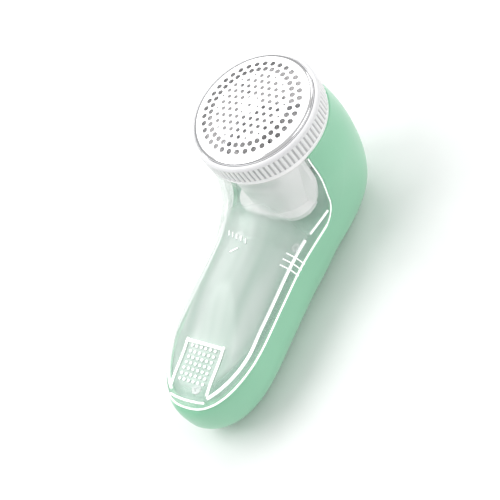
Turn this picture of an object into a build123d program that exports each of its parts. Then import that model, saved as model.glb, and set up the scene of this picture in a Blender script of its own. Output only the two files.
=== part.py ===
from build123d import *
import math
import os

# Fabric shaver, built as an assembly of separate pieces.
# The shaver lies on its back: +Z is the way the foil faces, +Y runs along the handle towards the head
# and X is across it. The origin is on the back plane, under the middle of the overall length.
# All sizes are millimetres.

os.makedirs("parts", exist_ok=True)

# ---------------------------------------------------------------- driving dimensions

overall_length = 150.0
head_y = 44.4  # the head's axis, along the handle from the origin
foil_z = 78.4  # level of the foil's outer ring of holes
rim_z = 64.4  # top rim of the housing, below the lock ring
parting_z = 28.9  # level where the lint bin meets the housing along the handle
wall = 2.0
fit_gap = 0.2

# the body is an elbow: its sections turn about a line in front of the neck, then run straight down the handle
bend_y = head_y - 45.0
bend_z = rim_z
straight_run = bend_y + overall_length / 2
end_cap_length = 35.0
end_lift = 0.45  # share of the back's depth that its rounding takes away at the very end
back_trim = 0.4  # planed off the back so that it has a flat to lie on

# distances from the bend line, at bend angles in degrees and then at 90 + millimetres of straight run
front_distance = [(0, 15.7), (20, 18.3), (45, 16.2), (70, 15.7), (90, 17.0)]
front_distance += [(115, 20.0), (140, 28.9), (170, 29.5)]
back_distance = [(0, 74.3), (20, 79.0), (45, 85.2), (70, 66.5), (90, 64.8), (170, 64.8)]
widest_distance = [(0, 45.0), (20, 46.0), (45, 47.6), (70, 45.0), (90, 43.0), (170, 43.5)]
half_width = [(0, 29.3), (20, 31.4), (45, 27.0), (70, 25.0), (90, 23.8), (115, 23.4), (170, 23.4)]
front_fullness = [(0, 2.0), (70, 2.0), (90, 2.0), (115, 2.4), (140, 3.3), (170, 3.3)]
back_fullness = [(0, 2.0), (20, 2.2), (45, 2.9), (70, 2.5), (90, 2.2), (170, 2.2)]
bend_steps = [0, 10, 20, 32, 45, 58, 70, 80, 90]
straight_steps = [103, 116]
end_steps = [90, 72, 56, 41, 28, 16, 7, 2.5]  # degrees round the end cap's quarter ellipse

# seam between the lint bin and the housing: level along the handle, then up the side of the neck
seam_low_y = head_y - 15.7
seam_top_y = head_y - 10.8
seam_corner_r = 10.0
deck_gap = 0.3
deck_thickness = 2.0

# foil and lock ring
foil_r = 27.3
foil_flange_r = 27.8
foil_dome = 1.6
foil_sheet = 0.3
foil_shoulder_r = 25.8
foil_edge_z = foil_z - 3.2
outer_hole_ring_r = 21.8
inner_hole_ring_r = 18.7
ring_hole_count = 36
ring_hole_r = 1.2
field_pitch = 3.46
field_r = 15.2
field_hole_r = 0.93
centre_hole_r = 0.7
small_hole_r = 0.48
lock_ring_r = 29.4
lock_ring_bore_r = 28.0
lock_ring_base = foil_z - 12.0
lock_ring_lip_z = foil_z - 2.9
knurl_top = foil_z - 3.6
knurl_root_r = 28.6
knurl_ribs = 80
knurl_r = 0.85
thread_lead = 36.0
thread_ribs = 3
thread_mid_z = foil_z - 9.75

# cutter chamber
collar_r = 28.6
collar_z = foil_z - 14.0
neck_r = 25.2
neck_bore_r = 23.6
neck_top_z = foil_z - 7.1
bowl_wall = 1.6
bowl_top_r = 25.2
bowl_end_r = 16.5
bowl_end_shift = 10.0
bowl_end_z = foil_z - 46.6
chute_mouth_z = 36.0  # below this the deck is the chute's back wall
bulkhead_half_width = 25.8
bulkhead_drop = 37.0
bulkhead_z = rim_z - 4.4  # level of the bulkhead's widest part
mouth_half_width = 13.0
mouth_low_y = seam_low_y - 4.7
flange_half_width = 19.2
flange_low_y = head_y - 26.9
flange_corner_r = 10.0
flange_top_z = 36.2
flange_thickness = 2.0
floor_z = foil_z - 26.0
floor_thickness = 2.0
post_ring_r = 14.5
post_r = 3.0
screw_r = 1.1
screw_head_r = 2.2

# motor, on the head's axis below the chamber's floor
motor_r = 10.1
motor_flat = 7.7
motor_length = 22.0
motor_wall = 0.9
motor_top = floor_z
shaft_r = 1.0
shaft_gap = 0.04
bush_r = 2.4
armature_r = 6.6
armature_z = 36.0
armature_length = 11.0
boss_r = 3.0
terminal_x = 6.0

# rotor above the floor
impeller_z = 56.4
impeller_r = 17.0
impeller_vanes = 8
carrier_z = foil_z - 7.0
carrier_height = 3.6
blade_count = 3
blade_outer_r = 22.0

# cells, side by side in the handle
cell_r = 7.15
cell_length = 49.2
cell_x = 7.7
cell_z = 12.6
cell_low_y = -56.4
cell_high_y = cell_low_y + cell_length
nub_r = 2.7
nub_height = 1.2

# switch and battery door, in the back
switch_y = 10.0
switch_travel = 5.0
recess_depth = 2.0
switch_floor_z = 4.2
door_half_width = 15.3
door_low_y = -59.4
door_high_y = -2.8

# thumb pad and marks on the lint bin
pad_y = head_y - 99.1
pad_top_y = head_y - 89.5
pad_end_y = head_y - 110.3
pad_width = 19.8
groove_half_width = 8.6
groove_width = 2.6
groove_z = 31.7
pad_line = 1.2
dot_pitch = 2.41
dot_r = 0.62
mark_y = head_y - 44.7
mark_x = -1.1
mark_strokes = 5
mark_pitch = 2.4
mark_slope = -0.2
stroke_length = 2.3
stroke_width = 0.5
stroke_lean = 15
dash_y = head_y - 50.6
dash_length = 3.9
dash_turn = 39
relief = 0.45

# step round the lint bin's raised part
ledge_height = 4.5
ledge_half_width = 21.0
ledge_start_y = head_y - 20.0
ledge_side_y = head_y - 42.0
ledge_end_y = head_y - 76.0
ledge_end_length = 38.0


# ---------------------------------------------------------------- the body's form


def smooth(along, knots):
    """Monotone cubic through (position, value) knots, level beyond the first and last."""
    if along <= knots[0][0]:
        return knots[0][1]
    if along >= knots[-1][0]:
        return knots[-1][1]
    steps = [b[0] - a[0] for a, b in zip(knots, knots[1:])]
    slopes = [(b[1] - a[1]) / step for a, b, step in zip(knots, knots[1:], steps)]
    tangents = [slopes[0]]
    for i in range(1, len(slopes)):
        before, after = slopes[i - 1], slopes[i]
        tangents.append(0.0 if before * after <= 0 else 2 * before * after / (before + after))
    tangents.append(slopes[-1])
    i = max(k for k in range(len(steps)) if knots[k][0] <= along)
    t = (along - knots[i][0]) / steps[i]
    rise = knots[i + 1][1] - knots[i][1]
    start, end = tangents[i] * steps[i], tangents[i + 1] * steps[i]
    return knots[i][1] + t * start + t * t * (3 * rise - 2 * start - end) + t**3 * (start + end - 2 * rise)


def station_plane(along):
    """The plane of a section: local x is X, local y points away from the bend line, towards the back."""
    if along <= 90:
        turn = math.radians(along)
        return Plane(origin=(0, bend_y, bend_z), x_dir=(1, 0, 0), z_dir=(0, math.sin(turn), math.cos(turn)))
    return Plane(origin=(0, bend_y - (along - 90), bend_z), x_dir=(1, 0, 0), z_dir=(0, 1, 0))


def round_half(width, depth, widest, fullness):
    """Two Bezier quadrants of a superellipse, from the right-hand widest point over to the left-hand one."""
    grip = (2 ** (-1 / fullness) - 0.5) / 0.375
    tip = widest + depth
    Bezier((width, widest), (width, widest + grip * depth), (grip * width, tip), (0, tip))
    Bezier((0, tip), (-grip * width, tip), (-width, widest + grip * depth), (-width, widest))


def body_section(along, inset_front, inset_side, inset_back, front_closing):
    """One closed section of the body, moved in from the outer surface by the insets."""
    cap_start = 90 + straight_run - end_cap_length
    into_cap = (along - cap_start) / (end_cap_length - inset_back)
    close = math.sqrt(1 - into_cap**2) if into_cap > 0 else 1.0
    widest = smooth(along, widest_distance)
    width = (smooth(along, half_width) - inset_side) * close
    front = (widest - smooth(along, front_distance) - inset_front) * close**front_closing
    back = (smooth(along, back_distance) - inset_back - widest) * close**0.4
    if into_cap > 0:
        back *= 1 - end_lift * into_cap**8
    with BuildLine(station_plane(along)) as outline:
        round_half(width, -front, widest, smooth(along, front_fullness))
        round_half(width, back, widest, smooth(along, back_fullness))
    return Face(outline.wire())


def body_form(inset_front=0.0, inset_side=0.0, inset_back=0.0, front_closing=0.64):
    """The whole body as one smooth solid, or the same form moved in by the insets."""
    cap_start = 90 + straight_run - end_cap_length
    cap = end_cap_length - inset_back
    stops = bend_steps + straight_steps + [cap_start + cap * math.cos(math.radians(a)) for a in end_steps]
    with BuildPart() as form:
        insets = (inset_front, inset_side, inset_back, front_closing)
        loft(sections=[body_section(stop, *insets) for stop in stops])
    return form.part


def seam_space(back_off):
    """Everything in front of the seam, with the seam moved towards the back by back_off."""
    high_z = 95.0
    lean = (seam_top_y - seam_low_y) / (rim_z - parting_z)
    with BuildPart() as space:
        with BuildSketch(Plane.YZ) as profile:
            with BuildLine():
                Polyline(
                    (-90, parting_z - back_off),
                    (seam_low_y + back_off, parting_z - back_off),
                    (seam_low_y + lean * (high_z - parting_z) + back_off, high_z),
                    (-90, high_z),
                    close=True,
                )
            make_face()
            corner = profile.vertices().sort_by(Axis.Y)[0:2].sort_by(Axis.X)[-1]
            fillet(corner, radius=seam_corner_r + back_off)
        extrude(amount=45, both=True)
    return space.part


def block(low, high, mode=Mode.ADD):
    """A box between two opposite corners."""
    size = [h - l for l, h in zip(low, high)]
    middle = [(l + h) / 2 for l, h in zip(low, high)]
    with Locations(tuple(middle)):
        Box(*size, mode=mode)


def post(x, y, radius, low_z, high_z, mode=Mode.ADD):
    """An upright cylinder."""
    with Locations((x, y, (low_z + high_z) / 2)):
        Cylinder(radius, high_z - low_z, mode=mode)


def keep(name, part):
    """Label a finished piece and write it to its own file."""
    part.label = name
    export_step(part, f"parts/{name}.step")


outer_form = body_form()
inner_form = body_form(wall, wall, wall)
fitting_form = body_form(wall + 0.15, wall + 0.15, wall + 0.15)
front_form = body_form(front_closing=0.35)
cavity_form = body_form(1.8, 3.0, 1.8, front_closing=0.35)
front_space = seam_space(0)

deck_z = parting_z - deck_gap
door_edge = door_half_width + fit_gap
deck_screw_spots = [(-15.2, 8.4), (15.2, 8.4), (0, -63.0)]
post_angles = [math.radians(a) for a in (30, 90, 150)]
post_spots = [(post_ring_r * math.cos(a), head_y + post_ring_r * math.sin(a)) for a in post_angles]
motor_screw_spots = [(-5.2, head_y), (5.2, head_y)]

# ---------------------------------------------------------------- housing

with BuildPart() as bosses:
    for x, y in deck_screw_spots:
        post(x, y, 2.8, 0, deck_z - deck_thickness)
    for x, y in post_spots:
        post(x, y, post_r, 0, floor_z)
    block((-9, -1, 0), (9, 21, switch_floor_z))  # thickened floor round the switch's slot
    block((-26, -3.6, 1), (26, -2.7, 19))  # partitions behind the cells' contacts
    block((-26, -61.4, 1), (26, -60.2, 19))
    for side in (-1, 1):
        block((side * cell_x - 1.2, -4, 14.8), (side * cell_x + 1.2, -2, 20), mode=Mode.SUBTRACT)
    add(outer_form, mode=Mode.INTERSECT)

with BuildPart() as rear_housing:
    add(outer_form)
    add(inner_form, mode=Mode.SUBTRACT)
    add(front_space, mode=Mode.SUBTRACT)
    add(bosses.part)
    block((-60, -90, -10), (60, 90, 0), mode=Mode.SUBTRACT)
    block((-door_edge, door_low_y - fit_gap, -1), (door_edge, door_high_y + fit_gap, 8.5), mode=Mode.SUBTRACT)
    block((-6.2, switch_y - 7.6, -1), (6.2, switch_y + 7.6, recess_depth), mode=Mode.SUBTRACT)
    block((-1.8, switch_y - 4.4, -1), (1.8, switch_y + 4.4, 6), mode=Mode.SUBTRACT)
    for x, y in deck_screw_spots:
        post(x, y, screw_r, deck_z - deck_thickness - 7, 60, mode=Mode.SUBTRACT)
    for x, y in post_spots:
        post(x, y, screw_r, floor_z - 7, floor_z + 1, mode=Mode.SUBTRACT)
keep("rear_housing", rear_housing.part)

with BuildPart() as battery_door:
    add(outer_form)
    add(inner_form, mode=Mode.SUBTRACT)
    block((-door_half_width, door_low_y, -5), (door_half_width, door_high_y, 8.5), mode=Mode.INTERSECT)
    block((-60, -90, -10), (60, 90, 0), mode=Mode.SUBTRACT)
    block((-3.5, door_high_y - 1.4, 1.2), (3.5, door_high_y, 4.6))  # catch
    for side in (-1, 1):
        block((side * 9 - 2, door_low_y, 4.4), (side * 9 + 2, door_low_y + 1.4, 7.6))
    for step in range(4):
        groove_y = door_high_y - 4.2 - 1.8 * step
        block((-3.2, groove_y, -1), (3.2, groove_y + 0.8, 0.5), mode=Mode.SUBTRACT)
keep("battery_door", battery_door.part)

with BuildPart() as front_deck:
    add(fitting_form)
    add(seam_space(deck_gap + deck_thickness), mode=Mode.INTERSECT)
    add(seam_space(deck_gap), mode=Mode.SUBTRACT)
    block((-60, -90, floor_z - 0.2), (60, 90, 99), mode=Mode.SUBTRACT)
    for x, y in deck_screw_spots:
        post(x, y, screw_r + 0.1, 0, 60, mode=Mode.SUBTRACT)
        post(x, y, screw_head_r + 0.2, deck_z - 1.0, 60, mode=Mode.SUBTRACT)
keep("front_deck", front_deck.part)

# ---------------------------------------------------------------- lint bin

with BuildPart() as bin_relief:
    with BuildSketch(Plane.XY.offset(parting_z + 1)):
        with Locations((0, (pad_top_y + pad_end_y) / 2)):
            Rectangle(pad_width, pad_top_y - pad_end_y)
        with Locations((0, pad_end_y)):
            Rectangle(pad_width - 2 * pad_line, 2 * (pad_top_y - pad_end_y) - 3.0, mode=Mode.SUBTRACT)
        with Locations((0, pad_y)):
            with GridLocations(dot_pitch, dot_pitch, 6, 7):
                Circle(dot_r)
        for index in range(mark_strokes):
            along = (index - (mark_strokes - 1) / 2) * mark_pitch
            with Locations(Location((mark_x + along, mark_y + mark_slope * along), stroke_lean)):
                Rectangle(stroke_width, stroke_length)
        with Locations(Location((0, dash_y), dash_turn)):
            Rectangle(dash_length, stroke_width)
    extrude(amount=40)
    add(front_form.moved(Location((0, 0, relief))), mode=Mode.INTERSECT)

with BuildPart() as bin_step:
    with BuildSketch(Plane.XY.offset(parting_z + ledge_height)):
        with BuildLine():
            Line((ledge_half_width, ledge_side_y), (ledge_half_width, ledge_end_y))
            Bezier(
                (ledge_half_width, ledge_end_y),
                (ledge_half_width, ledge_end_y - 0.5523 * ledge_end_length),
                (0.5523 * ledge_half_width, ledge_end_y - ledge_end_length),
                (0, ledge_end_y - ledge_end_length),
            )
            Bezier(
                (ledge_half_width, ledge_side_y),
                (ledge_half_width, ledge_side_y + 9),
                (24.0, ledge_start_y - 6),
                (27, ledge_start_y),
            )
            Line((27, ledge_start_y), (45, ledge_start_y))
            Polyline((45, ledge_start_y), (45, -90), (0, -90), (0, ledge_end_y - ledge_end_length))
        make_face()
        mirror(about=Plane.YZ)
    extrude(amount=40)

with BuildPart() as bin_end_trim:
    block((-40, -100, parting_z), (40, -40, parting_z + 40))
    end_outline = section(outer_form, section_by=Plane.XY.offset(parting_z), mode=Mode.PRIVATE)
    extrude(end_outline, amount=40, dir=(0, 0, 1), mode=Mode.SUBTRACT)

with BuildPart() as lint_bin:
    add(front_form)
    add(bin_relief.part)
    add(bin_step.part, mode=Mode.SUBTRACT)
    add(bin_end_trim.part, mode=Mode.SUBTRACT)
    block(
        (-groove_half_width, pad_end_y - 0.8 - groove_width, groove_z),
        (groove_half_width, pad_end_y - 0.8, 60),
        mode=Mode.SUBTRACT,
    )
    add(cavity_form, mode=Mode.SUBTRACT)
    add(seam_space(-fit_gap), mode=Mode.INTERSECT)
    block((-60, -90, rim_z - 0.3), (60, 90, 99), mode=Mode.SUBTRACT)
keep("lint_bin", lint_bin.part)

# ---------------------------------------------------------------- cutter chamber


def bowl(inset):
    """The bowl's form: rounds that shrink and move towards the handle as they go down from the collar."""
    with BuildPart() as form:
        for share in (0.0, 0.2, 0.4, 0.7, 1.0):
            radius = bowl_top_r + (bowl_end_r - bowl_top_r) * share**1.15 - inset
            with BuildSketch(Plane.XY.offset(collar_z + (bowl_end_z - collar_z) * share)):
                with Locations((0, head_y - bowl_end_shift * share**1.3)):
                    Circle(radius)
        loft()
    return form.part


def sector(inner, outer, middle_angle, width_angle, low_z, high_z):
    """A piece of a ring round the head's axis."""
    reach = 2 * outer
    half = math.radians(width_angle / 2)
    with BuildPart() as piece:
        with BuildSketch(Plane.XY.offset(low_z)):
            with Locations(Location((0, head_y), middle_angle)):
                Circle(outer)
                Circle(inner, mode=Mode.SUBTRACT)
                far = (reach * math.cos(half), reach * math.sin(half))
                Polygon((0, 0), far, (far[0], -far[1]), align=None, mode=Mode.INTERSECT)
        extrude(amount=high_z - low_z)
    return piece.part


def thread_rib(angle):
    """One short rib of the coarse thread, centred on the given angle round the neck."""
    rise = thread_lead / 12
    with BuildPart() as rib:
        with BuildLine() as path:
            Helix(pitch=thread_lead, height=rise, radius=neck_r)
        with BuildSketch(Plane(origin=path.line @ 0, x_dir=(1, 0, 0), z_dir=path.line % 0)):
            Rectangle(2.2, 1.2)
        sweep(is_frenet=True)
    return rib.part.moved(Location((0, head_y, thread_mid_z - rise / 2), (0, 0, angle - 15)))


rib_angles = [360 / thread_ribs * i for i in range(thread_ribs)]

with BuildPart() as behind_chute:
    block((-60, -90, 0), (60, 90, floor_z))
    add(seam_space(-deck_gap), mode=Mode.SUBTRACT)

with BuildPart() as chute_hollow:
    add(bowl(bowl_wall))
    add(seam_space(-deck_gap - bowl_wall), mode=Mode.INTERSECT)

with BuildPart() as bowl_hollow:
    add(bowl(bowl_wall))
    block((-60, -90, 0), (60, 90, floor_z + floor_thickness), mode=Mode.SUBTRACT)

neck_space = body_form(wall + 0.2, wall + 1.4, wall, front_closing=0.35)

with BuildPart() as bulkhead:
    with BuildSketch(Plane.XZ):
        with Locations((0, bulkhead_z)):
            Ellipse(bulkhead_half_width, bulkhead_drop)
    extrude(amount=60, both=True)
    add(neck_space, mode=Mode.INTERSECT)
    add(seam_space(-deck_gap), mode=Mode.INTERSECT)
    add(seam_space(-deck_gap - bowl_wall), mode=Mode.SUBTRACT)
    block((-60, -90, rim_z - 0.5), (60, 90, 99), mode=Mode.SUBTRACT)
    block((-60, -90, 0), (60, mouth_low_y, 99), mode=Mode.SUBTRACT)

with BuildPart() as mouth_flange:
    with BuildSketch(Plane.XY.offset(flange_top_z - flange_thickness)):
        with Locations((0, flange_low_y + flange_half_width)):
            RectangleRounded(2 * flange_half_width, 2 * flange_half_width, flange_corner_r)
    extrude(amount=flange_thickness)
    add(neck_space, mode=Mode.INTERSECT)

with BuildPart() as cutter_chamber:
    add(bowl(0))
    add(mouth_flange.part)
    add(behind_chute.part, mode=Mode.SUBTRACT)
    add(bulkhead.part)
    post(0, head_y, collar_r, collar_z, collar_z + 1.8)
    post(0, head_y, neck_r, collar_z, neck_top_z)
    for angle in rib_angles:
        add(thread_rib(angle))
    add(chute_hollow.part, mode=Mode.SUBTRACT)
    add(bowl_hollow.part, mode=Mode.SUBTRACT)
    post(0, head_y, neck_bore_r, collar_z - 0.5, 90, mode=Mode.SUBTRACT)
    post(0, head_y, boss_r + 0.2, 0, 90, mode=Mode.SUBTRACT)
    for x, y in post_spots + motor_screw_spots:
        post(x, y, screw_r + 0.1, 0, 90, mode=Mode.SUBTRACT)
    block((-mouth_half_width, mouth_low_y, 0), (mouth_half_width, 60, chute_mouth_z), mode=Mode.SUBTRACT)
keep("cutter_chamber", cutter_chamber.part)

# ---------------------------------------------------------------- lock ring and foil

head_axis = Axis((0, head_y, 0), (0, 0, 1))
head_side = Plane.XZ.offset(-head_y)

lug_z = lock_ring_base + 0.1
with BuildPart() as lock_ring:
    with BuildSketch(head_side):
        with BuildLine():
            Polyline(
                (foil_r + 0.2, foil_z - 2.0),
                (foil_r + 0.2, lock_ring_lip_z),
                (lock_ring_bore_r, lock_ring_lip_z),
                (lock_ring_bore_r, lock_ring_base),
                (knurl_root_r, lock_ring_base),
                (knurl_root_r, knurl_top),
                (lock_ring_r, knurl_top),
            )
            Bezier(
                (lock_ring_r, knurl_top),
                (lock_ring_r, foil_z - 2.5),
                (28.6, foil_z - 1.9),
                (27.9, foil_z - 1.75),
            )
            Line((27.9, foil_z - 1.75), (foil_r + 0.2, foil_z - 2.0))
        make_face()
    revolve(axis=head_axis)
    with BuildSketch(Plane.XY.offset(lock_ring_base + 0.5)):
        with Locations((0, head_y)):
            Circle(knurl_root_r + 0.05)
            with PolarLocations(lock_ring_r - knurl_r, knurl_ribs):
                Circle(knurl_r)
            Circle(lock_ring_bore_r + 0.4, mode=Mode.SUBTRACT)
    extrude(amount=knurl_top - lock_ring_base - 0.5)
    for angle in rib_angles:
        add(sector(neck_r + 0.25, lock_ring_bore_r + 0.3, angle + 6, 12, lug_z, lug_z + 0.9))
keep("lock_ring", lock_ring.part)

dome_radius = outer_hole_ring_r**2 / (2 * foil_dome) + foil_dome / 2
shoulder_z = foil_z + foil_dome - foil_shoulder_r**2 / (2 * dome_radius)


def field_holes():
    """The field of holes as (x, y, radius), with small holes at its edge and round its centre."""
    holes = [(0, 0, centre_hole_r)]
    row_pitch = field_pitch * math.sqrt(3) / 2
    for row in range(-5, 6):
        for step in range(-6, 7):
            x = (step + (row % 2) / 2) * field_pitch
            y = row * row_pitch
            r = math.hypot(x, y)
            if field_pitch * 1.1 < r < field_r:
                holes.append((x, y, field_hole_r))
            elif field_r <= r < field_r + 0.8:
                holes.append((x, y, small_hole_r))
            elif 0 < r <= field_pitch * 1.1:
                holes.append((x * 1.23, y * 1.23, small_hole_r))
    return holes


with BuildPart() as foil:
    with BuildSketch(head_side):
        with BuildLine():
            top = foil_z + foil_dome
            edge_low = foil_edge_z - foil_sheet
            inner_r = foil_r - foil_sheet
            RadiusArc((0, top), (foil_shoulder_r, shoulder_z), dome_radius)
            Bezier(
                (foil_shoulder_r, shoulder_z),
                (foil_r - 0.3, shoulder_z - 0.28),
                (foil_r, shoulder_z - 0.7),
                (foil_r, shoulder_z - 1.5),
            )
            Polyline(
                (foil_r, shoulder_z - 1.5),
                (foil_r, foil_edge_z),
                (foil_flange_r, foil_edge_z),
                (foil_flange_r, edge_low),
                (inner_r, edge_low),
                (inner_r, shoulder_z - 1.5),
            )
            Bezier(
                (inner_r, shoulder_z - 1.5),
                (inner_r, shoulder_z - 0.9),
                (inner_r - 0.3, shoulder_z - foil_sheet - 0.25),
                (foil_shoulder_r, shoulder_z - foil_sheet),
            )
            RadiusArc((foil_shoulder_r, shoulder_z - foil_sheet), (0, top - foil_sheet), -dome_radius)
            Line((0, top - foil_sheet), (0, top))
        make_face()
    revolve(axis=head_axis)
    with BuildSketch(Plane.XY.offset(foil_z - 3)):
        with Locations((0, head_y)):
            with PolarLocations(outer_hole_ring_r, ring_hole_count):
                Circle(ring_hole_r)
            with PolarLocations(inner_hole_ring_r, ring_hole_count, start_angle=6):
                Circle(ring_hole_r)
            for x, y, r in field_holes():
                with Locations((x, y)):
                    Circle(r)
    extrude(amount=6, mode=Mode.SUBTRACT)
keep("foil", foil.part)

with BuildPart() as foil_rim:
    with BuildSketch(head_side):
        Polygon(
            (24.0, foil_z - 7.0),
            (27.6, foil_z - 7.0),
            (27.6, foil_edge_z - foil_sheet),
            (26.9, foil_edge_z - foil_sheet),
            (26.9, foil_z - 2.7),
            (25.6, foil_z - 2.7),
            (25.6, foil_z - 5.4),
            (24.0, foil_z - 5.4),
            align=None,
        )
    revolve(axis=head_axis)
keep("foil_rim", foil_rim.part)

# ---------------------------------------------------------------- motor

motor_low = motor_top - motor_length


def can_outline(inset):
    """The motor's round outline with two flats, moved in by inset."""
    with Locations((0, head_y)):
        Circle(motor_r - inset)
        Rectangle(2 * motor_r, 2 * (motor_flat - inset), mode=Mode.INTERSECT)


with BuildPart() as motor_can:
    with BuildSketch(Plane.XY.offset(motor_low)):
        can_outline(0)
    extrude(amount=motor_length)
    with BuildSketch(Plane.XY.offset(motor_low)):
        can_outline(motor_wall)
    extrude(amount=motor_length - motor_wall, mode=Mode.SUBTRACT)
    post(0, head_y, boss_r, motor_top, motor_top + floor_thickness)
    post(0, head_y, bush_r, motor_top - motor_wall, 90, mode=Mode.SUBTRACT)
    for x, y in motor_screw_spots:
        post(x, y, screw_r, motor_top - 2, motor_top + 1, mode=Mode.SUBTRACT)
keep("motor_can", motor_can.part)

with BuildPart() as motor_magnets:
    with BuildSketch(Plane.XY.offset(motor_low + 2.6)):
        with Locations((0, head_y)):
            Circle(motor_r - motor_wall - 0.02)
            Circle(armature_r + 0.6, mode=Mode.SUBTRACT)
            Rectangle(30, 10, mode=Mode.INTERSECT)
    extrude(amount=17)
keep("motor_magnets", motor_magnets.part)

cap_plate_z = motor_low - 1.5
with BuildPart() as motor_end_cap:
    with BuildSketch(Plane.XY.offset(cap_plate_z)):
        can_outline(0)
    extrude(amount=1.5)
    with BuildSketch(Plane.XY.offset(motor_low)):
        can_outline(motor_wall + 0.03)
    extrude(amount=1.4)
    post(0, head_y, boss_r + 0.4, cap_plate_z - 2.0, cap_plate_z)
    post(0, head_y, bush_r, 0, cap_plate_z + 0.6, mode=Mode.SUBTRACT)
    post(0, head_y, shaft_r + 0.4, 0, 60, mode=Mode.SUBTRACT)
keep("motor_end_cap", motor_end_cap.part)

with BuildPart() as motor_bushes:
    front_span = (motor_top - motor_wall, motor_top + floor_thickness)
    rear_span = (cap_plate_z - 2.0, cap_plate_z + 0.6)
    for low, high in (front_span, rear_span):
        post(0, head_y, bush_r, low, high)
        post(0, head_y, shaft_r + shaft_gap, low, high, mode=Mode.SUBTRACT)
keep("motor_bushes", motor_bushes.part)

with BuildPart() as motor_terminals:
    for side in (-1, 1):
        x = side * terminal_x
        block((x - 0.25, head_y - 1.2, cap_plate_z - 3.6), (x + 0.25, head_y + 1.2, cap_plate_z))
keep("motor_terminals", motor_terminals.part)

commutator_r = 2.2
with BuildPart() as motor_brushes:
    for side in (-1, 1):
        x = side * (commutator_r + 0.2)
        block((x - 0.15, head_y - 1.0, motor_low + 1.4), (x + 0.15, head_y + 1.0, motor_low + 3.6))
keep("motor_brushes", motor_brushes.part)

with BuildPart() as motor_shaft:
    post(0, head_y, shaft_r, cap_plate_z - 1.4, carrier_z + carrier_height)
keep("motor_shaft", motor_shaft.part)

with BuildPart() as commutator:
    post(0, head_y, commutator_r, motor_low + 1.8, motor_low + 4.0)
    post(0, head_y, shaft_r, 0, 90, mode=Mode.SUBTRACT)
    for turn in (0, 120, 240):
        with BuildSketch(Plane.XY.offset(motor_low)):
            with Locations(Location((0, head_y), turn)):
                with Locations((1.9, 0)):
                    Rectangle(1.2, 0.3)
        extrude(amount=6, mode=Mode.SUBTRACT)
keep("commutator", commutator.part)

with BuildPart() as armature_core:
    with BuildSketch(Plane.XY.offset(armature_z)):
        with Locations((0, head_y)):
            Circle(armature_r)
            Circle(armature_r - 1.5, mode=Mode.SUBTRACT)
            with PolarLocations(0, 3, start_angle=60):
                with Locations((armature_r, 0)):
                    Rectangle(5, 2.2, mode=Mode.SUBTRACT)
            Circle(2.8)
            with PolarLocations(0, 3):
                with Locations((3.2, 0)):
                    Rectangle(5.0, 2.4)
            Circle(shaft_r, mode=Mode.SUBTRACT)
    extrude(amount=armature_length)
keep("armature_core", armature_core.part)

with BuildPart() as windings:
    with BuildSketch(Plane.XY.offset(armature_z - 1.3)):
        with Locations((0, head_y)):
            with PolarLocations(0, 3):
                with Locations((3.75, 0)):
                    Rectangle(2.2, 5.0)
            Circle(armature_r - 1.6, mode=Mode.INTERSECT)
    extrude(amount=armature_length + 2.6)
    add(armature_core.part, mode=Mode.SUBTRACT)
keep("windings", windings.part)

# ---------------------------------------------------------------- impeller and cutter

impeller_top = impeller_z + 8.0
with BuildPart() as impeller:
    post(0, head_y, impeller_r, impeller_z, impeller_z + 1.2)
    post(0, head_y, 3.2, impeller_z, impeller_top + 1.6)
    with BuildSketch(Plane.XY.offset(impeller_z + 1.0)):
        with Locations((0, head_y)):
            with PolarLocations(0, impeller_vanes):
                with Locations((impeller_r / 2 + 1.5, 0)):
                    Rectangle(impeller_r - 4, 1.0, rotation=8)
    extrude(amount=impeller_top - impeller_z - 1.0)
    post(0, head_y, shaft_r, 0, 90, mode=Mode.SUBTRACT)
keep("impeller", impeller.part)


def coil_spring(foot, coil_r, pitch, height, wire_r=0.35):
    """A helical spring of round wire, standing on the given foot location."""
    with BuildPart() as coil:
        with BuildLine() as path:
            Helix(pitch=pitch, height=height, radius=coil_r)
        with BuildSketch(Plane(origin=path.line @ 0, z_dir=path.line % 0)):
            Circle(wire_r)
        sweep(is_frenet=True)
    return coil.part.moved(foot)


spring_low = impeller_top + 1.6
with BuildPart() as blade_spring:
    add(coil_spring(Location((0, head_y, spring_low + 0.4)), 2.3, 1.2, carrier_z - spring_low - 0.8))
keep("blade_spring", blade_spring.part)

blade_turns = [360 / blade_count * i + 15 for i in range(blade_count)]
with BuildPart() as cutter_blades:
    for turn in blade_turns:
        along = (math.cos(math.radians(turn)), math.sin(math.radians(turn)), 0)
        with BuildSketch(Plane(origin=(0, head_y, 0), x_dir=along, z_dir=(along[1], -along[0], 0))):
            Polygon(
                (4.0, carrier_z + 1.2),
                (blade_outer_r - 1.0, carrier_z + 1.2),
                (blade_outer_r, foil_z - 1.6),
                (blade_outer_r, foil_z - 0.65),
                (4.0, foil_z + 0.75),
                align=None,
            )
        extrude(amount=0.25, both=True)
keep("cutter_blades", cutter_blades.part)

with BuildPart() as blade_carrier:
    post(0, head_y, 5.2, carrier_z, carrier_z + carrier_height)
    with BuildSketch(Plane.XY.offset(carrier_z)):
        for turn in blade_turns:
            with Locations(Location((0, head_y), turn)):
                with Locations((blade_outer_r / 2 - 0.5, 0)):
                    RectangleRounded(blade_outer_r - 2.0, 4.6, 1.6)
    extrude(amount=carrier_height - 1.0)
    post(0, head_y, shaft_r, 0, 90, mode=Mode.SUBTRACT)
    add(cutter_blades.part, mode=Mode.SUBTRACT)
keep("blade_carrier", blade_carrier.part)

with BuildPart() as blade_cap:
    post(0, head_y, 2.7, carrier_z + carrier_height, carrier_z + carrier_height + 1.8)
    fillet(blade_cap.edges().sort_by(Axis.Z)[-1], radius=0.8)
keep("blade_cap", blade_cap.part)

# ---------------------------------------------------------------- cells and contacts

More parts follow.
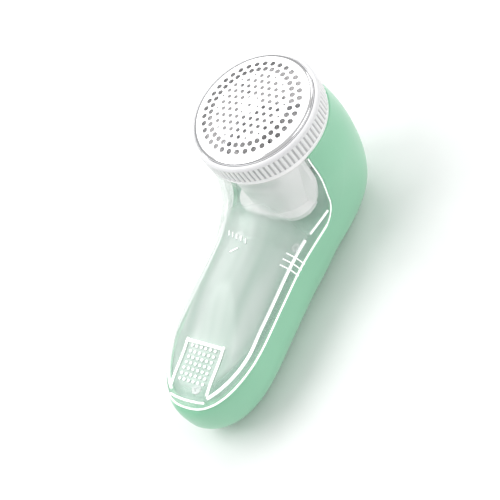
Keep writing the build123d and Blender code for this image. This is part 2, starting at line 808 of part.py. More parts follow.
for name, x, turned in (("cell_left", -cell_x, True), ("cell_right", cell_x, False)):
    with BuildPart() as cell:
        with BuildSketch(Plane.XZ.offset(-cell_low_y)):
            with Locations((x, cell_z)):
                Circle(cell_r)
        extrude(amount=-cell_length)
        fillet(cell.edges().filter_by(GeomType.CIRCLE), radius=0.6)
        nub_start = cell_low_y - nub_height if turned else cell_high_y
        with BuildSketch(Plane.XZ.offset(-nub_start)):
            with Locations((x, cell_z)):
                Circle(nub_r)
        extrude(amount=-nub_height)
    keep(name, cell.part)

plate = 0.5
top_plate_y = cell_high_y + 3.0
low_plate_y = cell_low_y - 3.3
with BuildPart() as terminal_plates:
    for side in (-1, 1):
        x = side * cell_x
        block((x - 5, top_plate_y, cell_z - 4.5), (x + 5, top_plate_y + plate, cell_z + 4.5))
    block((cell_x - 2, cell_high_y + nub_height, cell_z - 2), (cell_x + 2, top_plate_y, cell_z + 2))
keep("terminal_plates", terminal_plates.part)

with BuildPart() as link_plate:
    block((-11.5, low_plate_y - plate, cell_z - 3.5), (11.5, low_plate_y, cell_z + 4.5))
    block((-cell_x - 2, low_plate_y, cell_z - 2), (-cell_x + 2, cell_low_y - nub_height, cell_z + 2))
keep("link_plate", link_plate.part)

with BuildPart() as contact_springs:
    add(coil_spring(Location((-cell_x, cell_high_y + 0.4, cell_z), (-90, 0, 0)), 3.0, 1.1, 2.2))
    add(coil_spring(Location((cell_x, low_plate_y + 0.4, cell_z), (-90, 0, 0)), 3.0, 1.1, 2.5))
keep("contact_springs", contact_springs.part)

# ---------------------------------------------------------------- switch

with BuildPart() as switch_body:
    floor = switch_floor_z
    block((-5.5, switch_y - 7.5, floor + 0.1), (5.5, switch_y + 7.5, floor + 6.1))
    block((-2.0, switch_y - 5.0, floor), (2.0, switch_y + 5.0, floor + 4.0), mode=Mode.SUBTRACT)
keep("switch_body", switch_body.part)

knob_mid_y = switch_y - switch_travel / 2
with BuildPart() as switch_slider:
    block((-5.8, knob_mid_y - 4.7, 0.25), (5.8, knob_mid_y + 4.7, recess_depth - 0.2))
    for step in range(4):
        y = knob_mid_y - 3.0 + 2.0 * step
        block((-4.6, y - 0.4, 0), (4.6, y + 0.4, 0.7), mode=Mode.SUBTRACT)
    block((-1.5, knob_mid_y - 1.6, recess_depth - 0.5), (1.5, knob_mid_y + 1.6, switch_floor_z + 3.2))
keep("switch_slider", switch_slider.part)

# ---------------------------------------------------------------- leads and screws


def lead(points, bend):
    """An insulated lead along straight runs joined by arcs."""
    with BuildPart() as wire:
        with BuildLine() as path:
            FilletPolyline(*points, radius=bend)
        with BuildSketch(Plane(origin=path.line @ 0, z_dir=path.line % 0)):
            Circle(0.65)
        sweep()
    return wire.part


terminal_low = cap_plate_z - 3.7
switch_top = switch_floor_z + 6.2
run_z = 16.0
switch_x = 3.4
to_motor_right = [(terminal_x, head_y, run_z), (terminal_x, head_y, terminal_low)]
to_motor_left = [(-terminal_x, head_y, run_z), (-terminal_x, head_y, terminal_low)]
cell_to_switch = [(cell_x, -2.8, run_z), (cell_x, 2.5, run_z)]
cell_to_switch += [(switch_x, 6.0, run_z), (switch_x, 6.0, switch_top)]
switch_to_motor = [(switch_x, 14, switch_top), (switch_x, 14, 15), (5.0, 30, run_z)] + to_motor_right
cell_to_motor = [(-cell_x, -2.8, run_z), (-cell_x, 22, run_z)] + to_motor_left
with BuildPart() as leads:
    add(lead(cell_to_switch, 1.6))
    add(lead(switch_to_motor, 2.5))
    add(lead(cell_to_motor, 2.5))
keep("leads", leads.part)


def screw(x, y, seat_z, length, head_r, head_height):
    """A cross-recessed screw standing head up, its head's underside at seat_z."""
    with BuildPart() as piece:
        post(x, y, head_r, seat_z, seat_z + head_height)
        post(x, y, screw_r - 0.06, seat_z - length, seat_z)
        top = seat_z + head_height
        block((x - 0.25, y - 1.1, top - 0.7), (x + 0.25, y + 1.1, top + 1), mode=Mode.SUBTRACT)
        block((x - 1.1, y - 0.25, top - 0.7), (x + 1.1, y + 0.25, top + 1), mode=Mode.SUBTRACT)
    return piece.part


floor_top = floor_z + floor_thickness
with BuildPart() as deck_screws:
    for x, y in deck_screw_spots:
        add(screw(x, y, deck_z - 1.0, 6.5, screw_head_r, 1.1))
keep("deck_screws", deck_screws.part)

with BuildPart() as chamber_screws:
    for x, y in post_spots:
        add(screw(x, y, floor_top, 7.5, screw_head_r, 1.3))
keep("chamber_screws", chamber_screws.part)

with BuildPart() as motor_screws:
    for x, y in motor_screw_spots:
        add(screw(x, y, floor_top, 2.8, 1.9, 1.1))
keep("motor_screws", motor_screws.part)
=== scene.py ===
import math

import bmesh
import bpy
from mathutils import Matrix, Vector
from mathutils.bvhtree import BVHTree


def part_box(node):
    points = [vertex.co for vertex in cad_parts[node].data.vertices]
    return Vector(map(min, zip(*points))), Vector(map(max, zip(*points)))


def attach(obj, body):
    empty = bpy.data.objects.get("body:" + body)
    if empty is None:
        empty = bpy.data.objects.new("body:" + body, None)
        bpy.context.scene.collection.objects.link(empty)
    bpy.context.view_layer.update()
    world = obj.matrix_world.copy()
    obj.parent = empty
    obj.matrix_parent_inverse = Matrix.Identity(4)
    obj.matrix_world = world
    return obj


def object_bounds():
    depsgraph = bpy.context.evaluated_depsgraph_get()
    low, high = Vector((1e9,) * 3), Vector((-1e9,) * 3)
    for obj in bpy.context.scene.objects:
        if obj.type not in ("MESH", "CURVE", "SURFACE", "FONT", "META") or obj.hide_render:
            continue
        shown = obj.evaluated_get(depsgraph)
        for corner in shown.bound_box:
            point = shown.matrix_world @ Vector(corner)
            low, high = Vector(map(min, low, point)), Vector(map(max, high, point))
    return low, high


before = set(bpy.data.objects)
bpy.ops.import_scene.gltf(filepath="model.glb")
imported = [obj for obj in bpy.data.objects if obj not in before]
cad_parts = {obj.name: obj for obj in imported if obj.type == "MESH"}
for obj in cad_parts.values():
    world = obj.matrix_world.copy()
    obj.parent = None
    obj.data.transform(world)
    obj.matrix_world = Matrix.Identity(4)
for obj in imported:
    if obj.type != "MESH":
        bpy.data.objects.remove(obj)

# Fabric shaver: materials, surroundings and the fine visible detail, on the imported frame.
# Everything is in metres.

cad_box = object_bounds()
MM = 0.001

# ---------------------------------------------------------------- places on the shaver

bin_low, bin_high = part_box("lint_bin")
ring_low, ring_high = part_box("lock_ring")
head_y = (ring_low[1] + ring_high[1]) / 2
seam_z = bin_low[2]  # the bin's lower edge, where it meets the housing
ledge_z = seam_z + 4.3 * MM  # foot of the bin's raised part
end_centre_y = -38 * MM  # centre of the handle's rounded end

# The seam's corner, where the neck's edge turns into the handle's edge.
neck_corner_r = 9.8 * MM
neck_low_y = head_y - 15.9 * MM
neck_lean = 4.9 / 35.5  # how far the neck's edge leans back for its height
seam_inset = 0.5 * MM
seam_turn_y = head_y - 22 * MM  # the seam's thin line up the neck starts here

# The line round the bin's raised part: straight down its side, then round part of an ellipse to the pad.
ledge_side_z = ledge_z + 0.5 * MM
ledge_side_end_y = head_y - 80 * MM
ledge_round_width = 20.9 * MM
ledge_round_length = 39 * MM
ledge_round_y = head_y - 76 * MM
ledge_lower_top_y = head_y - 34 * MM
ledge_upper_top_y = head_y - 18.5 * MM
ledge_upper_low_y = head_y - 32.0 * MM

# The thumb pad, its dots and the grip ribs beside it.
pad_half_width = 9.4 * MM
pad_top_y = head_y - 90.2 * MM
pad_low_y = head_y - 110.2 * MM
dots_y = head_y - 99.1 * MM
dot_columns = 6
dot_rows = 7
dot_pitch = 2.41 * MM
dot_r = 0.68 * MM
dot_height = 0.45 * MM
dot_sink = 0.05 * MM
rib_count = 3
rib_first_y = 1.7 * MM
rib_pitch = 2.85 * MM
rib_rise = 9.0 * MM
rib_slant = 0.12

# The plain mark on the neck: a row of strokes with a dash below, and the line along the bin's chin.
mark_y = head_y - 44.7 * MM
mark_strokes = 5
mark_pitch = 2.4 * MM
mark_slope = 0.2
mark_shift_x = 1.1 * MM
stroke_half = (0.3 * MM, 1.05 * MM)
dash_y = head_y - 50.6 * MM
dash_half = (1.5 * MM, 1.2 * MM)
chin_y = head_y - 114.0 * MM
chin_half_width = 8.8 * MM
chin_bow = 1.0 * MM

# Rays towards the bin start here, outside the shaver.
beside_x = 0.06
above_z = 0.12

# ---------------------------------------------------------------- camera, lights, floor

camera_place = Vector((0.34146, -0.18488, 0.4876))
camera_back = Vector((0.57419, -0.30997, 0.75778)).normalized()
camera_right = Vector((0.79926, 0.41286, -0.43674))
camera_lens = 101.4
camera_sensor = 36.0

middle = (0, 0, 0.04)
lights = [  # name, place, target, size, power
    ("key", (-0.35, -0.25, 0.75), middle, 0.6, 3.0),
    ("fill", (0.65, 0.25, 0.6), middle, 0.7, 1.6),
    ("back", (0.1, 0.8, 0.5), middle, 0.5, 0.9),
    ("foil_softbox", (-0.46, 0.33, 0.76), (0, head_y, 0.08), 0.95, 3.2),
]

world_low = (0.30, 0.31, 0.32)
world_high = (1.0, 1.0, 1.0)
world_strength = 0.62
floor_reach = 1.6
floor_gap = 0.0002
floor_white = (0.96, 0.96, 0.96)


def aim(obj, place, right, up, back):
    """Puts obj at place, with its local axes along right, up and back."""
    turn = Matrix((right, up, back)).transposed()
    obj.matrix_world = Matrix.Translation(place) @ turn.to_4x4()


def make_camera():
    """The camera, at the photograph's viewing angle."""
    data = bpy.data.cameras.new("camera")
    data.sensor_width = camera_sensor
    data.lens = camera_lens
    camera = bpy.data.objects.new("camera", data)
    bpy.context.scene.collection.objects.link(camera)
    right = (camera_right - camera_right.dot(camera_back) * camera_back).normalized()
    aim(camera, camera_place, right, camera_back.cross(right), camera_back)
    bpy.context.scene.camera = camera


def make_light(name, place, target, size, power):
    """A round white studio light at place, facing target."""
    data = bpy.data.lights.new(name, "AREA")
    data.shape = "DISK"
    data.size = size
    data.energy = power
    light = bpy.data.objects.new(name, data)
    bpy.context.scene.collection.objects.link(light)
    back = (Vector(place) - Vector(target)).normalized()
    right = Vector((0, 0, 1)).cross(back).normalized()
    aim(light, Vector(place), right, back.cross(right), back)


def make_world():
    """A plain studio surround, grey at the horizon and white above."""
    world = bpy.data.worlds.new("studio")
    bpy.context.scene.world = world
    world.use_nodes = True
    nodes, links = world.node_tree.nodes, world.node_tree.links
    height = coordinate(nodes, links, "Z", "Generated")
    background = nodes["Background"]
    links.new(tint(nodes, links, height, world_low, world_high, 0.0, 0.55), background.inputs["Color"])
    background.inputs["Strength"].default_value = world_strength


def make_floor():
    """A plain pale floor just under the shaver."""
    size = floor_reach
    low = cad_box[0][2] - floor_gap
    corners = [(-size, -size, low), (size, -size, low), (size, size, low), (-size, size, low)]
    mesh = bpy.data.meshes.new("floor")
    mesh.from_pydata(corners, [], [(0, 1, 2, 3)])
    floor = bpy.data.objects.new("floor", mesh)
    bpy.context.scene.collection.objects.link(floor)
    floor.data.materials.append(matte("floor_white", floor_white, 0.7))


# ---------------------------------------------------------------- shader nodes

# A colour Mix node has its colour sockets at these places.
MIX_FIRST, MIX_SECOND, MIX_RESULT = 6, 7, 2


def new_material(name):
    """A material with its nodes and links."""
    material = bpy.data.materials.new(name)
    material.use_nodes = True
    return material, material.node_tree.nodes, material.node_tree.links


def coordinate(nodes, links, axis, kind="Object"):
    """One coordinate of the shaded point. The object's own coordinates are metres."""
    coords = nodes.new("ShaderNodeTexCoord")
    split = nodes.new("ShaderNodeSeparateXYZ")
    links.new(coords.outputs[kind], split.inputs[0])
    return split.outputs[axis]


def noise(nodes, links, scale, detail=3.0, stretch=None):
    """A noise texture in the object's own coordinates, each multiplied by stretch."""
    coords = nodes.new("ShaderNodeTexCoord")
    place = coords.outputs["Object"]
    if stretch:
        mapping = nodes.new("ShaderNodeMapping")
        mapping.inputs["Scale"].default_value = stretch
        links.new(place, mapping.inputs["Vector"])
        place = mapping.outputs["Vector"]
    texture = nodes.new("ShaderNodeTexNoise")
    texture.inputs["Scale"].default_value = scale
    texture.inputs["Detail"].default_value = detail
    links.new(place, texture.inputs["Vector"])
    return texture.outputs["Fac"]


def remap(nodes, links, source, first, last, smooth=False):
    """Maps source between two (place, value) pairs, and holds the end values beyond them."""
    node = nodes.new("ShaderNodeMapRange")
    if smooth:
        node.interpolation_type = "SMOOTHSTEP"
    node.inputs["From Min"].default_value = first[0]
    node.inputs["From Max"].default_value = last[0]
    node.inputs["To Min"].default_value = first[1]
    node.inputs["To Max"].default_value = last[1]
    links.new(source, node.inputs["Value"])
    return node.outputs["Result"]


def tint(nodes, links, source, first, second, start=0.3, end=0.7):
    """Blends two colours as source goes from start to end."""
    ramp = nodes.new("ShaderNodeValToRGB")
    ramp.color_ramp.elements[0].position = start
    ramp.color_ramp.elements[0].color = (*first, 1)
    ramp.color_ramp.elements[1].position = end
    ramp.color_ramp.elements[1].color = (*second, 1)
    links.new(source, ramp.inputs[0])
    return ramp.outputs["Color"]


def bump(nodes, links, height, shader, strength, distance):
    """Raises the shader's surface by height."""
    node = nodes.new("ShaderNodeBump")
    node.inputs["Strength"].default_value = strength
    node.inputs["Distance"].default_value = distance
    links.new(height, node.inputs["Height"])
    links.new(node.outputs["Normal"], shader.inputs["Normal"])


def vector_step(nodes, links, operation, source, other=None):
    """One vector calculation on source."""
    node = nodes.new("ShaderNodeVectorMath")
    node.operation = operation
    if other is not None:
        node.inputs[1].default_value = other
    links.new(source, node.inputs[0])
    return node


# ---------------------------------------------------------------- materials

plastic_ior = 1.49
plastic_drift = 0.05  # how much darker the plastic's flow makes it
grain_depth = 0.05 * MM
scratch_depth = 0.03 * MM

# The clear cover: the colours of its painted streaks of reflection, and its opacity along the handle and
# up the edge of its raised part.
reflection_streak_stretch = (1, 0.13, 0.4)
cover_dark = (0.58, 0.70, 0.63)
cover_light = (0.86, 0.90, 0.88)
cover_frost = ((6 * MM, 0.46), (22 * MM, 0.10))
cover_edge = ((ledge_z - 0.3 * MM, 0.35), (ledge_z + 0.7 * MM, 1.0))

# The lock ring: the radii between which its painted groove shade turns to the ribs' white, and the heights
# between which its colour turns to the plain rim's.
groove_shade_span = (28.65 * MM, 29.05 * MM)
rim_span = (ring_high[2] - 2.3 * MM, ring_high[2] - 1.9 * MM)
# Painted shade: this grey stands in for the light lost in the knurl's grooves.
groove_painted_shade = (0.60, 0.60, 0.61)
rib_white = (0.93, 0.93, 0.93)
rim_white = (0.86, 0.86, 0.87)

# A cell's sleeve from its foot to its top: where each colour starts.
sleeve_bands = [
    (0.0, (0.55, 0.56, 0.57)),
    (0.02, (0.03, 0.12, 0.18)),
    (0.72, (0.62, 0.45, 0.12)),
    (0.975, (0.6, 0.6, 0.6)),
]


def moulded(name, rough, coat=0.0, grain=0.04, painted_glow=0.0):
    """Moulded plastic before its colour: a fine moulded grain and uneven gloss."""
    material, nodes, links = new_material(name)
    shader = nodes["Principled BSDF"]
    gloss = noise(nodes, links, 220, 4)
    uneven = remap(nodes, links, gloss, (0, rough * 0.85), (1, rough * 1.15))
    links.new(uneven, shader.inputs["Roughness"])
    shader.inputs["IOR"].default_value = plastic_ior
    shader.inputs["Coat Weight"].default_value = coat
    shader.inputs["Coat Roughness"].default_value = 0.08
    # Painted light: white emission makes the plastic shine by itself, though it is no lamp.
    if painted_glow:
        shader.inputs["Emission Color"].default_value = (1, 1, 1, 1)
        shader.inputs["Emission Strength"].default_value = painted_glow
    bump(nodes, links, noise(nodes, links, 2600, 2), shader, grain, grain_depth)
    return material, nodes, links, shader


def plastic(name, color, rough, coat=0.0, grain=0.04, painted_glow=0.0):
    """Moulded plastic of one colour, with slight drift from its flow."""
    material, nodes, links, shader = moulded(name, rough, coat, grain, painted_glow)
    darker = [c * (1 - plastic_drift) for c in color]
    links.new(tint(nodes, links, noise(nodes, links, 30, 2), darker, color), shader.inputs["Base Color"])
    return material


def matte(name, color, rough):
    """Plastic with a coarser grain and no coat."""
    return plastic(name, color, rough, grain=0.08)


def metal(name, color, rough, scratch=0.1, scale=900, stretch=(1, 1, 1)):
    """Metal with fine scratches that vary its colour and roughness."""
    material, nodes, links = new_material(name)
    shader = nodes["Principled BSDF"]
    shader.inputs["Metallic"].default_value = 1.0
    wear = noise(nodes, links, scale, 4, stretch)
    worn = [c * 0.9 for c in color]
    links.new(tint(nodes, links, wear, worn, color), shader.inputs["Base Color"])
    uneven = remap(nodes, links, wear, (0, rough * 0.8), (1, rough * 1.25))
    links.new(uneven, shader.inputs["Roughness"])
    bump(nodes, links, wear, shader, scratch, scratch_depth)
    return material


def cell_sleeve():
    """A printed sleeve with one coloured end band, without any lettering."""
    material, nodes, links = new_material("cell_sleeve")
    shader = nodes["Principled BSDF"]
    low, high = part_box("cell_right")
    along = remap(nodes, links, coordinate(nodes, links, "Y"), (low[1], 0), (high[1], 1))
    ramp = nodes.new("ShaderNodeValToRGB")
    links.new(along, ramp.inputs[0])
    stops = ramp.color_ramp.elements
    ramp.color_ramp.interpolation = "CONSTANT"
    stops.remove(stops[1])
    for place, color in sleeve_bands:
        stop = stops[0] if place == 0 else stops.new(place)
        stop.position = place
        stop.color = (*color, 1)
    links.new(ramp.outputs["Color"], shader.inputs["Base Color"])
    gloss = noise(nodes, links, 400)
    links.new(remap(nodes, links, gloss, (0, 0.22), (1, 0.34)), shader.inputs["Roughness"])
    bump(nodes, links, gloss, shader, 0.05, grain_depth)
    return material


def cover_plastic():
    """Clear plastic with painted streaks of reflection along the handle: frosted on top of the handle,
    clear at its edge and on the neck.
    """
    material, nodes, links, shader = moulded("clear_cover", 0.14, grain=0.02)
    # Painted reflection: stretched noise blends the colour between darker and lighter streaks along the
    # handle.
    reflection_streaks = noise(nodes, links, 120, 1, reflection_streak_stretch)
    links.new(tint(nodes, links, reflection_streaks, cover_dark, cover_light), shader.inputs["Base Color"])
    frost = remap(nodes, links, coordinate(nodes, links, "Y"), *cover_frost, smooth=True)
    edge = remap(nodes, links, coordinate(nodes, links, "Z"), *cover_edge, smooth=True)
    opacity = nodes.new("ShaderNodeMath")
    opacity.operation = "MULTIPLY"
    links.new(frost, opacity.inputs[0])
    links.new(edge, opacity.inputs[1])
    links.new(opacity.outputs[0], shader.inputs["Alpha"])
    mirror = nodes.new("ShaderNodeBsdfGlossy")
    mirror.inputs["Roughness"].default_value = 0.22
    grazing = nodes.new("ShaderNodeLayerWeight")
    grazing.inputs["Blend"].default_value = 0.07
    blend = nodes.new("ShaderNodeMixShader")
    links.new(grazing.outputs["Facing"], blend.inputs[0])
    links.new(shader.outputs[0], blend.inputs[1])
    links.new(mirror.outputs[0], blend.inputs[2])
    links.new(blend.outputs[0], nodes["Material Output"].inputs["Surface"])
    return material


def ring_plastic():
    """Milky plastic with painted shade in its knurl: its colour turns grey towards the axis, in the
    grooves where light is lost between the ribs.
    """
    material, nodes, links, shader = moulded("ring_clear", 0.22, coat=0.3)
    coords = nodes.new("ShaderNodeTexCoord")
    from_axis = vector_step(nodes, links, "SUBTRACT", coords.outputs["Object"], (0, head_y, 0))
    across = vector_step(nodes, links, "MULTIPLY", from_axis.outputs[0], (1, 1, 0))
    radius = vector_step(nodes, links, "LENGTH", across.outputs[0]).outputs["Value"]
    # Painted shade: the colour turns grey in the grooves by distance from the ring's axis.
    groove_shade = remap(nodes, links, radius, (groove_shade_span[0], 0), (groove_shade_span[1], 1))
    rim = remap(nodes, links, coordinate(nodes, links, "Z"), (rim_span[0], 0), (rim_span[1], 1))
    mix = nodes.new("ShaderNodeMix")
    mix.data_type = "RGBA"
    mix.inputs[MIX_SECOND].default_value = (*rim_white, 1)
    links.new(rim, mix.inputs[0])
    links.new(tint(nodes, links, groove_shade, groove_painted_shade, rib_white, 0.0, 1.0), mix.inputs[MIX_FIRST])
    links.new(mix.outputs[MIX_RESULT], shader.inputs["Base Color"])
    return material


def set_material(node, material):
    """Gives a carried-over CAD node this material in every slot."""
    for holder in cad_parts[node].material_slots:
        holder.material = material
    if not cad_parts[node].material_slots:
        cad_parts[node].data.materials.append(material)


def paint_nodes():
    """Gives every CAD node its material."""
    for material, names in (
        (
            plastic("shell_green", (0.31, 0.68, 0.45), 0.32, coat=0.25, grain=0.01),
            "rear_housing battery_door",
        ),
        (cover_plastic(), "lint_bin"),
        (ring_plastic(), "lock_ring"),
        (
            plastic("white_plastic", (0.92, 0.92, 0.92), 0.3, coat=0.2),
            "foil_rim impeller blade_carrier blade_cap switch_slider",
        ),
        # The cutter chamber glows by itself: painted light that brightens it behind the clear cover.
        (plastic("chamber_white", (0.97, 0.95, 0.955), 0.3, coat=0.2, painted_glow=0.14), "cutter_chamber"),
        (plastic("deck_green", (0.33, 0.58, 0.45), 0.4), "front_deck"),
        (plastic("dark_plastic", (0.02, 0.02, 0.022), 0.4), "motor_end_cap switch_body"),
        (
            metal("zinc_steel", (0.75, 0.76, 0.77), 0.32),
            "motor_can terminal_plates link_plate contact_springs deck_screws chamber_screws motor_screws",
        ),
        (metal("plain_steel", (0.58, 0.59, 0.6), 0.28), "motor_shaft armature_core blade_spring"),
        (metal("blade_steel", (0.7, 0.71, 0.73), 0.24, stretch=(1, 1, 8)), "cutter_blades"),
        (metal("brass", (0.80, 0.60, 0.27), 0.25), "motor_bushes motor_terminals"),
        (metal("copper", (0.85, 0.42, 0.22), 0.3, 0.4, 1500), "motor_brushes commutator windings"),
        (metal("foil_steel", (0.93, 0.93, 0.94), 0.1, 0.03, 2500), "foil"),
        (matte("ferrite", (0.06, 0.055, 0.055), 0.6), "motor_magnets"),
        (cell_sleeve(), "cell_left cell_right"),
        (plastic("lead_red", (0.5, 0.03, 0.025), 0.45), "leads"),
    ):
        for node in names.split():
            set_material(node, material)


# ---------------------------------------------------------------- making pieces on the lint bin


def surface_of(node):
    """A ray-casting tree of a CAD node's surface."""
    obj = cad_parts[node]
    places = [obj.matrix_world @ v.co for v in obj.data.vertices]
    return BVHTree.FromPolygons(places, [tuple(p.vertices) for p in obj.data.polygons])


def hit(tree, start, direction):
    """Where a ray first meets the surface, or None."""
    return tree.ray_cast(Vector(start), Vector(direction).normalized())[0]


def side_point(tree, y, z, out):
    """The bin's side surface at this y and z, moved outwards by out, or None past its edge."""
    place = hit(tree, (beside_x, y, z), (-1, 0, 0))
    return Vector((place.x + out, y, z)) if place is not None else None


def top_point(tree, x, y, up):
    """The bin's upper surface over this x and y, moved up by up."""
    place = hit(tree, (x, y, above_z), (0, 0, -1))
    return Vector((x, y, place.z + up))


def run_over(tree, start, end, up, count=16):
    """A line over the bin's upper surface between two (x, y) places."""
    points = []
    for step in range(count + 1):
        share = step / count
        x = start[0] + (end[0] - start[0]) * share
        y = start[1] + (end[1] - start[1]) * share
        points.append(top_point(tree, x, y, up))
    return points


def mirrored(points, side):
    """The points on the +X side, or their mirror image on the -X side."""
    return [Vector((side * p.x, p.y, p.z)) for p in points]


def finish_piece(name, mesh, material):
    """Makes a smooth piece of the mesh, riding on the bin."""
    piece = bpy.data.objects.new(name, mesh)
    bpy.context.scene.collection.objects.link(piece)
    mesh.materials.clear()
    mesh.materials.append(material)
    for face in mesh.polygons:
        face.use_smooth = True
    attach(piece, "bin")


def bead(name, points, radius, material):
    """A round bead along the points, with closed ends."""
    curve = bpy.data.curves.new(name, "CURVE")
    curve.dimensions = "3D"
    curve.bevel_depth = radius
    curve.bevel_resolution = 3
    curve.use_fill_caps = True
    spline = curve.splines.new("POLY")
    spline.points.add(len(points) - 1)
    for point, place in zip(spline.points, points):
        point.co = (*place, 1)
    obj = bpy.data.objects.new(name, curve)
    bpy.context.scene.collection.objects.link(obj)
    mesh = bpy.data.meshes.new_from_object(obj)
    bpy.data.objects.remove(obj)
    mesh.name = name
    finish_piece(name, mesh, material)


def dome(bm, place, normal, radius, height):
    """Adds one low round dome to the mesh, closed underneath."""
    rings, around = 4, 16
    side = normal.orthogonal().normalized()
    other = normal.cross(side)
    loops = []
    for ring in range(rings):
        tilt = math.pi / 2 * ring / rings
        reach = radius * math.cos(tilt) ** 0.6
        rise = height * math.sin(tilt)
        loop = []
        for i in range(around):
            turn = 2 * math.pi * i / around
            spot = place + (side * math.cos(turn) + other * math.sin(turn)) * reach + normal * rise
            loop.append(bm.verts.new(spot))
        loops.append(loop)
    for lower, upper in zip(loops, loops[1:]):
        for i in range(around):
            after = (i + 1) % around
            bm.faces.new((lower[i], lower[after], upper[after], upper[i]))
    peak = bm.verts.new(place + normal * height)
    for i in range(around):
        bm.faces.new((loops[-1][i], loops[-1][(i + 1) % around], peak))
    foot = bm.verts.new(place - normal * height)
    for i in range(around):
        bm.faces.new((foot, loops[0][(i + 1) % around], loops[0][i]))


# ---------------------------------------------------------------- lines of the lint bin


def end_points(tree, z, out):
    """Points round the handle's end, from its +X side to its -Y tip."""
    points = []
    steps = 28
    for step in range(1, steps + 1):
        angle = -math.pi / 2 * step / steps
        away = Vector((math.cos(angle), math.sin(angle), 0))
        place = hit(tree, Vector((0, end_centre_y, z)) + away * beside_x, -away)
        if place is not None:
            points.append(place + away * out)
    return points


def neck_run(inset):
    """The seam's profile up the neck and round its corner, as (y, z), top first."""
    corner_z = seam_z + neck_corner_r
    tilt = math.atan(neck_lean)
    corner_y = neck_low_y + neck_lean * neck_corner_r - neck_corner_r / math.cos(tilt)
    radius = neck_corner_r - inset
    profile = []
    for step in range(9):
        z = bin_high[2] - 0.4 * MM + (corner_z - bin_high[2]) * step / 8
        profile.append((neck_low_y + neck_lean * (z - seam_z) - inset, z))
    for step in range(1, 11):
        angle = -tilt - (math.pi / 2 - tilt) * step / 10
        profile.append((corner_y + radius * math.cos(angle), corner_z + radius * math.sin(angle)))
    return profile


def seam_line(tree, inset, out):
    """The whole seam: down the +X side, round the handle's end and up the -X side."""
    half = [side_point(tree, y, z, out) for y, z in neck_run(inset)]
    steps = 24
    start_y = half[-1].y
    for step in range(1, steps + 1):
        y = start_y + (end_centre_y - start_y) * step / steps
        half.append(side_point(tree, y, seam_z + inset, out))
    half += end_points(tree, seam_z + inset, out)
    return half + mirrored(reversed(half[:-1]), -1)


def smoothed(points, sweeps):
    """The points drawn towards their neighbours, with both ends kept."""
    for sweep in range(sweeps):
        inner = [(a + 2 * b + c) / 4 for a, b, c in zip(points, points[1:], points[2:])]
        points = [points[0]] + inner + [points[-1]]
    return points


def ledge_line(tree, top_y, out):
    """Down the edge of the bin's raised part on the +X side, then round its end to the pad."""
    steps = 30
    half = []
    for step in range(steps + 1):
        y = top_y + (ledge_side_end_y - top_y) * step / steps
        place = side_point(tree, y, ledge_side_z, out)
        if place is not None:
            half.append(place)
    start = math.asin((ledge_round_y - ledge_side_end_y) / ledge_round_length)
    finish = math.acos(pad_half_width / ledge_round_width)
    for step in range(4, 33):
        angle = start + (finish - start) * step / 32
        x = ledge_round_width * math.cos(angle)
        y = ledge_round_y - ledge_round_length * math.sin(angle)
        half.append(top_point(tree, x, y, out))
    return smoothed(half, 6)


def rib_line(tree, y):
    """A short grip rib from the raised part's shoulder down over its edge to just past the seam."""
    steps = 12
    points = []
    for step in range(steps + 1):
        up = rib_rise * (1 - step / steps)
        slant = max(0.0, up - ledge_z + seam_z) * rib_slant
        points.append(side_point(tree, y - slant, seam_z + 0.05 * MM + up, 0.15 * MM))
    return [p for p in points if p is not None]


def dress_edges(tree, line):
    """The seam, thinner up the neck, and the two runs of the line round the raised part: white glowing
    beads that paint the highlights along these edges.
    """
    # These beads are painted highlights: white tubes laid along the seam and the raised part's edge.
    seam = seam_line(tree, seam_inset, -0.1 * MM)
    turn = next(i for i, p in enumerate(seam) if p.y < seam_turn_y)
    bead("seam_edge", seam[turn:-turn], 0.45 * MM, line)
    bead("seam_neck_right", seam[:turn + 1], 0.3 * MM, line)
    bead("seam_neck_left", seam[-turn - 1:], 0.3 * MM, line)
    lower = ledge_line(tree, ledge_lower_top_y, -0.35 * MM)
    upper = [p for p in ledge_line(tree, ledge_upper_top_y, -0.3 * MM) if p.y > ledge_upper_low_y]
    for side, label in ((1, "right"), (-1, "left")):
        bead("ledge_lower_" + label, mirrored(lower, side), 0.7 * MM, line)
        bead("ledge_upper_" + label, mirrored(upper, side), 0.5 * MM, line)


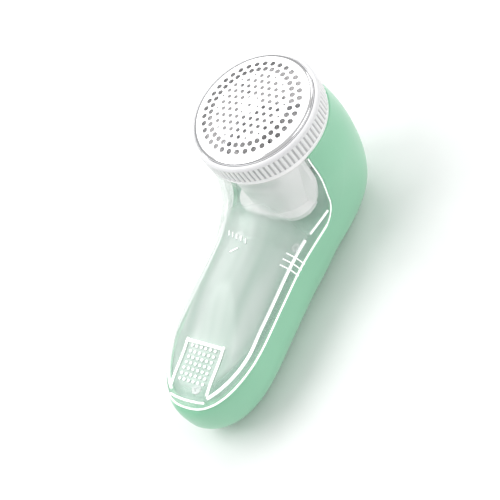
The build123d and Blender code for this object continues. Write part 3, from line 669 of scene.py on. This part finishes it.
def dress_pad(tree, line):
    """The thumb pad's rails, head and dots, and the grip ribs on both sides."""
    for side, label in ((1, "right"), (-1, "left")):
        edge = side * pad_half_width
        rail = run_over(tree, (edge, pad_top_y + 1.0 * MM), (edge, pad_low_y), 0.1 * MM)
        bead("pad_rail_" + label, rail, 0.6 * MM, line)
        for index in range(rib_count):
            rib = rib_line(tree, rib_first_y - rib_pitch * index)
            bead("grip_rib_%s_%d" % (label, index + 1), mirrored(rib, side), 0.28 * MM, line)
    head = run_over(tree, (-pad_half_width, pad_top_y), (pad_half_width, pad_top_y), 0.1 * MM)
    bead("pad_head", head, 0.75 * MM, line)
    bm = bmesh.new()
    for column in range(dot_columns):
        for row in range(dot_rows):
            x = (column - (dot_columns - 1) / 2) * dot_pitch
            y = dots_y + (row - (dot_rows - 1) / 2) * dot_pitch
            place, normal = tree.ray_cast(Vector((x, y, above_z)), Vector((0, 0, -1)))[:2]
            dome(bm, place - normal * dot_sink, normal, dot_r, dot_height)
    mesh = bpy.data.meshes.new("pad_dots")
    bm.to_mesh(mesh)
    bm.free()
    finish_piece("pad_dots", mesh, line)


def dress_mark(tree, line):
    """The plain strokes and dash on the neck."""
    for index in range(mark_strokes):
        along = (index - (mark_strokes - 1) / 2) * mark_pitch
        x = along - mark_shift_x
        y = mark_y - mark_slope * along
        start = (x - stroke_half[0], y + stroke_half[1])
        end = (x + stroke_half[0], y - stroke_half[1])
        bead("mark_stroke_%d" % (index + 1), run_over(tree, start, end, -0.1 * MM, 5), 0.25 * MM, line)
    start = (-dash_half[0], dash_y - dash_half[1])
    end = (dash_half[0], dash_y + dash_half[1])
    bead("mark_dash", run_over(tree, start, end, -0.1 * MM, 5), 0.3 * MM, line)


def dress_chin(tree, line):
    """The shallow curved line near the bin's lower end."""
    chin = []
    for step in range(17):
        share = step / 8 - 1
        chin.append(top_point(tree, share * chin_half_width, chin_y + chin_bow * share ** 2, 0.1 * MM))
    bead("chin_edge", chin, 0.5 * MM, line)


def dress_bin():
    """Adds the bin's white lines, pad, ribs and marks, in a white plastic that glows by itself as painted
    light.
    """
    tree = surface_of("lint_bin")
    # The lines glow white by themselves: painted light, brighter than the plastic would be under the
    # lamps.
    line = plastic("edge_white", (0.97, 0.98, 0.97), 0.25, painted_glow=0.45)
    dress_edges(tree, line)
    dress_pad(tree, line)
    dress_mark(tree, line)
    dress_chin(tree, line)


# ---------------------------------------------------------------- the scene

bpy.context.scene.view_settings.view_transform = "Standard"
paint_nodes()
make_camera()
make_world()
make_floor()
for light in lights:
    make_light(*light)
dress_bin()
